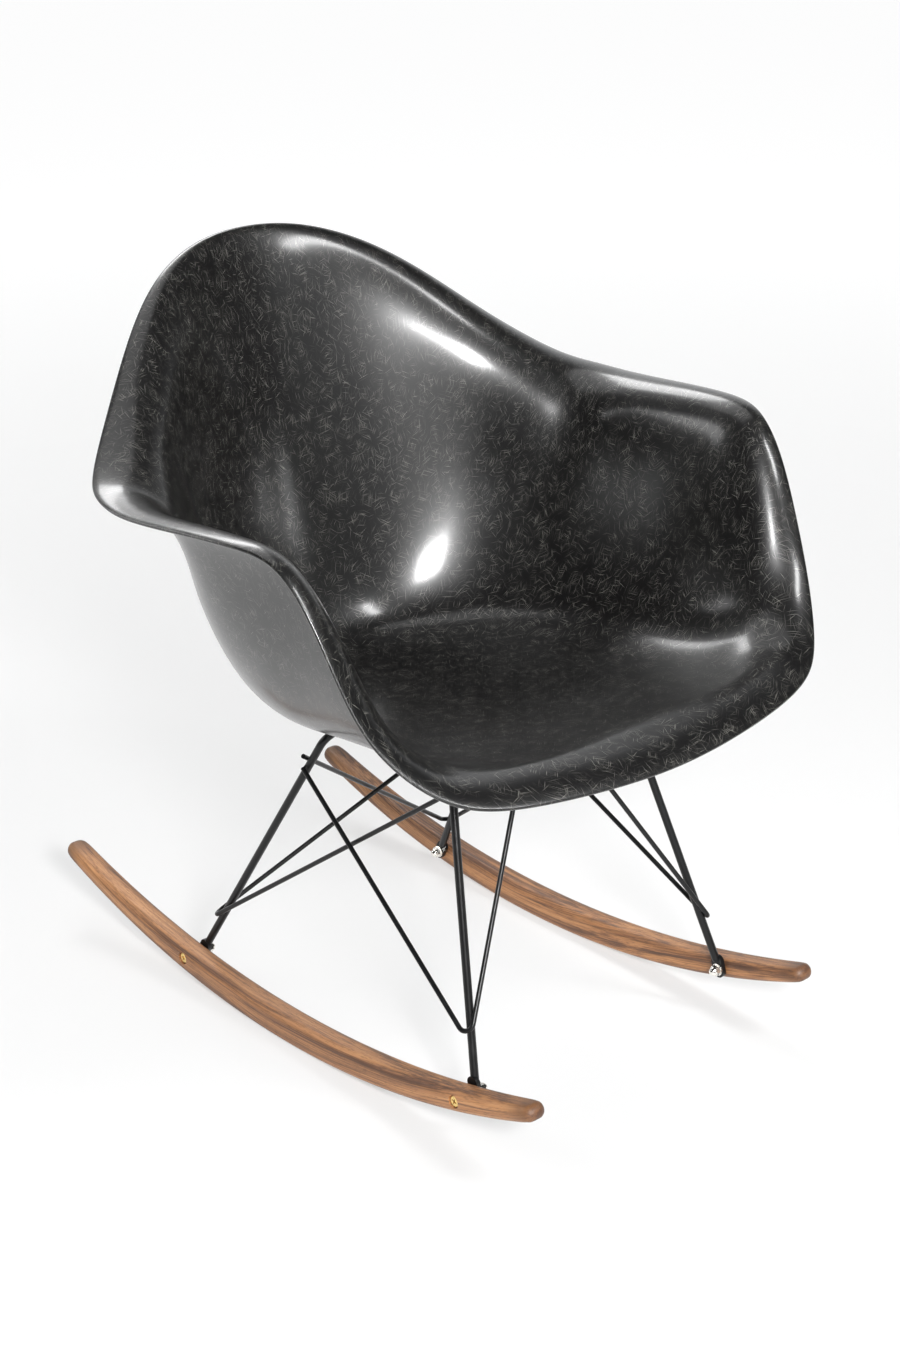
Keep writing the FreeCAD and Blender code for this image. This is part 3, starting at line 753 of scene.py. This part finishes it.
def weldTree(facts):
    tree = bpy.data.node_groups.new("weld_beads", "GeometryNodeTree")
    face = tree.interface
    face.new_socket("Geometry", in_out="INPUT", socket_type="NodeSocketGeometry")
    sockets = {name: face.new_socket(name, in_out="INPUT", socket_type=kind) for name, kind in (
        ("Bead Length", "NodeSocketFloat"), ("Bead Width", "NodeSocketFloat"), ("Ripple", "NodeSocketFloat"),
        ("Ripple Scale", "NodeSocketFloat"), ("Seed", "NodeSocketInt"), ("Finish", "NodeSocketMaterial"))}
    face.new_socket("Geometry", in_out="OUTPUT", socket_type="NodeSocketGeometry")
    start = tree.nodes.new("NodeGroupInput")
    end = tree.nodes.new("NodeGroupOutput")

    def node(kind, inputs=None, **settings):
        made = tree.nodes.new(kind)
        for key, value in settings.items():
            setattr(made, key, value)
        for key, value in (inputs or {}).items():
            if isinstance(value, bpy.types.NodeSocket):
                tree.links.new(value, made.inputs[key])
            else:
                made.inputs[key].default_value = value
        return made

    bead = node("GeometryNodeMeshIcoSphere", {"Radius": 1.0, "Subdivisions": facts["beadDetail"]})
    along = node("GeometryNodeInputNamedAttribute", {"Name": "along"}, data_type="FLOAT_VECTOR")
    turn = node("FunctionNodeAlignRotationToVector", {"Vector": along.outputs[0]}, axis="X")
    given = start.outputs
    least, most = facts["lengthSpread"]
    spread = node("FunctionNodeRandomValue", {"Min": least, "Max": most, "Seed": given["Seed"]},
                  data_type="FLOAT")
    grow = [s for s in spread.outputs if s.enabled][0]
    length = node("ShaderNodeMath", {0: given["Bead Length"], 1: grow}, operation="MULTIPLY")
    width = given["Bead Width"]
    size = node("ShaderNodeCombineXYZ", {0: length.outputs[0], 1: width, 2: width})
    copies = node("GeometryNodeInstanceOnPoints", {
        "Points": given["Geometry"], "Instance": bead.outputs["Mesh"],
        "Rotation": turn.outputs[0], "Scale": size.outputs[0]})
    real = node("GeometryNodeRealizeInstances", {"Geometry": copies.outputs[0]})
    ripples = node("ShaderNodeTexNoise", {"Scale": given["Ripple Scale"], "Detail": 1.0})
    centred = node("ShaderNodeMath", {0: ripples.outputs[0], 1: 0.5}, operation="SUBTRACT")
    height = node("ShaderNodeMath", {0: centred.outputs[0], 1: given["Ripple"]}, operation="MULTIPLY")
    normal = node("GeometryNodeInputNormal")
    push = node("ShaderNodeVectorMath", {0: normal.outputs[0], "Scale": height.outputs[0]},
                operation="SCALE")
    shaped = node("GeometryNodeSetPosition", {"Geometry": real.outputs[0], "Offset": push.outputs[0]})
    smooth = node("GeometryNodeSetShadeSmooth", {"Geometry": shaped.outputs[0]})
    painted = node("GeometryNodeSetMaterial", {"Geometry": smooth.outputs[0], "Material": given["Finish"]})
    tree.links.new(painted.outputs[0], end.inputs[0])
    values = {"Bead Length": facts["beadLength"], "Bead Width": facts["beadWidth"],
              "Ripple": facts["ripple"], "Ripple Scale": facts["rippleScale"], "Seed": facts["seed"],
              "Finish": paint}
    return tree, {sockets[name].identifier: value for name, value in values.items()}


def makeWelds(facts):
    steel = [row["node"] for row in frame["record"]["subparts"] if row["material_slot"] == "black_paint"]
    spots = []
    for i, first in enumerate(steel):
        for second in steel[:i] + steel[i + 1:]:
            sunk = Vector((0, 0, facts["plateSink"] if "plate" in first + second else 0))
            for middle, along in contactPoints(first, second, facts):
                middle = middle - sunk
                if all((middle - s).length > facts["apart"] for s, _ in spots):
                    spots.append((middle, along))
    mesh = bpy.data.meshes.new("weld_beads")
    mesh.from_pydata([tuple(s) for s, _ in spots], [], [])
    layer = mesh.attributes.new("along", "FLOAT_VECTOR", "POINT")
    layer.data.foreach_set("vector", np.array([tuple(a) for _, a in spots], np.float32).ravel())
    holder = bpy.data.objects.new("weld_points", mesh)
    bpy.context.scene.collection.objects.link(holder)
    tree, values = weldTree(facts)
    beads = holder.modifiers.new("weld_beads", "NODES")
    beads.node_group = tree
    for identifier, value in values.items():
        beads[identifier] = value
    done = bpy.data.meshes.new_from_object(holder.evaluated_get(bpy.context.evaluated_depsgraph_get()))
    holder.modifiers.remove(beads)
    bpy.data.objects.remove(holder)
    done.name = "weld_beads"
    piece = bpy.data.objects.new("weld_beads", done)
    bpy.context.scene.collection.objects.link(piece)
    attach(piece, "base")
    print("welds made:", len(spots))


makeWelds(weldFacts)

# camera, floor and lights
# heading is measured from +Y towards +X, rise is up from level, and roll is anticlockwise
cameraFacts = dict(place=(-1.4683, -1.7542, 1.2908), heading=40.9, rise=-22.6, roll=-1.5, lens=65.93)


def makeCamera(facts):
    lens = bpy.data.cameras.new("studio_camera")
    lens.sensor_width = 36.0
    lens.sensor_fit = "AUTO"
    lens.lens = facts["lens"]
    lens.clip_start, lens.clip_end = 0.05, 100.0
    camera = bpy.data.objects.new("studio_camera", lens)
    bpy.context.scene.collection.objects.link(camera)
    heading, rise, roll = (math.radians(facts[name]) for name in ("heading", "rise", "roll"))
    turn = (Matrix.Rotation(-heading, 3, "Z") @ Matrix.Rotation(math.pi / 2 + rise, 3, "X")
            @ Matrix.Rotation(roll, 3, "Z"))
    camera.matrix_world = Matrix.Translation(facts["place"]) @ turn.to_4x4()
    bpy.context.scene.camera = camera


makeCamera(cameraFacts)


studioFacts = dict(
    floorColour=rgb(0.30, 0.30, 0.30), glowNear=0.515, glowFar=0.88, glowReach=(0.6, 4.0), size=30.0,
    wallRadius=24.0, wallHeight=22.0, wallSunk=0.5, wallGlow=0.93, wallSides=96)


def makeStage(facts):
    # a pale floor that brightens away from the chair, and a plain white wall far round it
    m = Maker("pale_floor")
    x, y, _ = m.split(m.place())
    away = ((x * x + y * y) ** 0.5).between(*facts["glowReach"])
    glow = facts["glowNear"] + away * (facts["glowFar"] - facts["glowNear"])
    m.surface(Base_Color=facts["floorColour"], Roughness=0.8, Emission_Color=m.joined(glow, glow, glow),
              Emission_Strength=1.0)
    size = facts["size"]
    mesh = bpy.data.meshes.new("floor")
    corners = [(-size, -size, 0), (size, -size, 0), (size, size, 0), (-size, size, 0)]
    mesh.from_pydata(corners, [], [(0, 1, 2, 3)])
    mesh.materials.append(m.material)
    floor = bpy.data.objects.new("floor", mesh)
    bpy.context.scene.collection.objects.link(floor)

    m = Maker("white_wall")
    m.surface(Base_Color=rgb(0.0, 0.0, 0.0), Emission_Color=rgb(1.0, 1.0, 1.0),
              Emission_Strength=facts["wallGlow"])
    ring = bmesh.new()
    radius, height = facts["wallRadius"], facts["wallHeight"]
    bmesh.ops.create_cone(ring, segments=facts["wallSides"], radius1=radius, radius2=radius, depth=height,
                          matrix=Matrix.Translation((0, 0, height / 2 - facts["wallSunk"])))
    mesh = bpy.data.meshes.new("wall")
    ring.to_mesh(mesh)
    ring.free()
    mesh.materials.append(m.material)
    wall = bpy.data.objects.new("wall", mesh)
    bpy.context.scene.collection.objects.link(wall)
    wall.visible_glossy = wall.visible_diffuse = wall.visible_shadow = False


makeStage(studioFacts)

lightFacts = dict(
    # the studio's air: dim in front of the chair, white behind it and on its left
    dim=0.035, bright=1.08, tint=(0.975, 0.988, 1.0), towards=(0.6, 0.8), turn=(0.4, 0.85), fall=(0.60, 0.9),
    softboxes=[dict(name="key", at=(-1.18, -2.12, 1.43), aim=(0.05, 0.1, 0.5), size=(0.44, 0.44), watts=115),
               dict(name="overhead", at=(0.2, 0.9, 3.2), aim=(0, 0.1, 0.3), size=(2.4, 2.4), watts=28),
               dict(name="rim", at=(0.78, 1.75, 2.2), aim=(0, -0.1, 0.5), size=(1.1, 0.6), watts=24),
               dict(name="side", at=(0.62, -1.75, 1.96), aim=(0.27, -0.1, 0.55), size=(0.28, 0.8), watts=30),
               dict(name="back", at=(-1.6, 1.9, 1.5), aim=(0, 0, 0.5), size=(1.0, 1.0), watts=20),
               dict(name="table", at=(0.0, 0.1, 0.0008), aim=(0, 0.1, 1.0), size=(4.0, 4.0), watts=11)])


def makeLights(facts):
    m = Maker("studio_air", world=True)
    bpy.context.scene.world = m.material
    x, y, z = m.split(m.place("Generated"))
    facing = (x * facts["towards"][0] + y * facts["towards"][1]).between(*facts["turn"])
    white = facing * (1 - z.between(*facts["fall"]))
    shine = facts["dim"] + white * (facts["bright"] - facts["dim"])
    colour = m.joined(*(shine * share for share in facts["tint"]))
    air = m.node("ShaderNodeBackground", inputs={"Color": colour, "Strength": 1.0})
    m.tree.links.new(air.socket, m.out.inputs[0])
    for box in facts["softboxes"]:
        lamp = bpy.data.lights.new(box["name"], "AREA")
        lamp.shape = "RECTANGLE"
        lamp.size, lamp.size_y = box["size"]
        lamp.energy = box["watts"]
        light = bpy.data.objects.new(box["name"], lamp)
        bpy.context.scene.collection.objects.link(light)
        light.location = box["at"]
        light.rotation_mode = "QUATERNION"
        light.rotation_quaternion = (Vector(box["aim"]) - Vector(box["at"])).to_track_quat("-Z", "Y")
        light.visible_camera = False


makeLights(lightFacts)
bpy.context.scene.view_settings.view_transform = "Standard"
print("stage set")
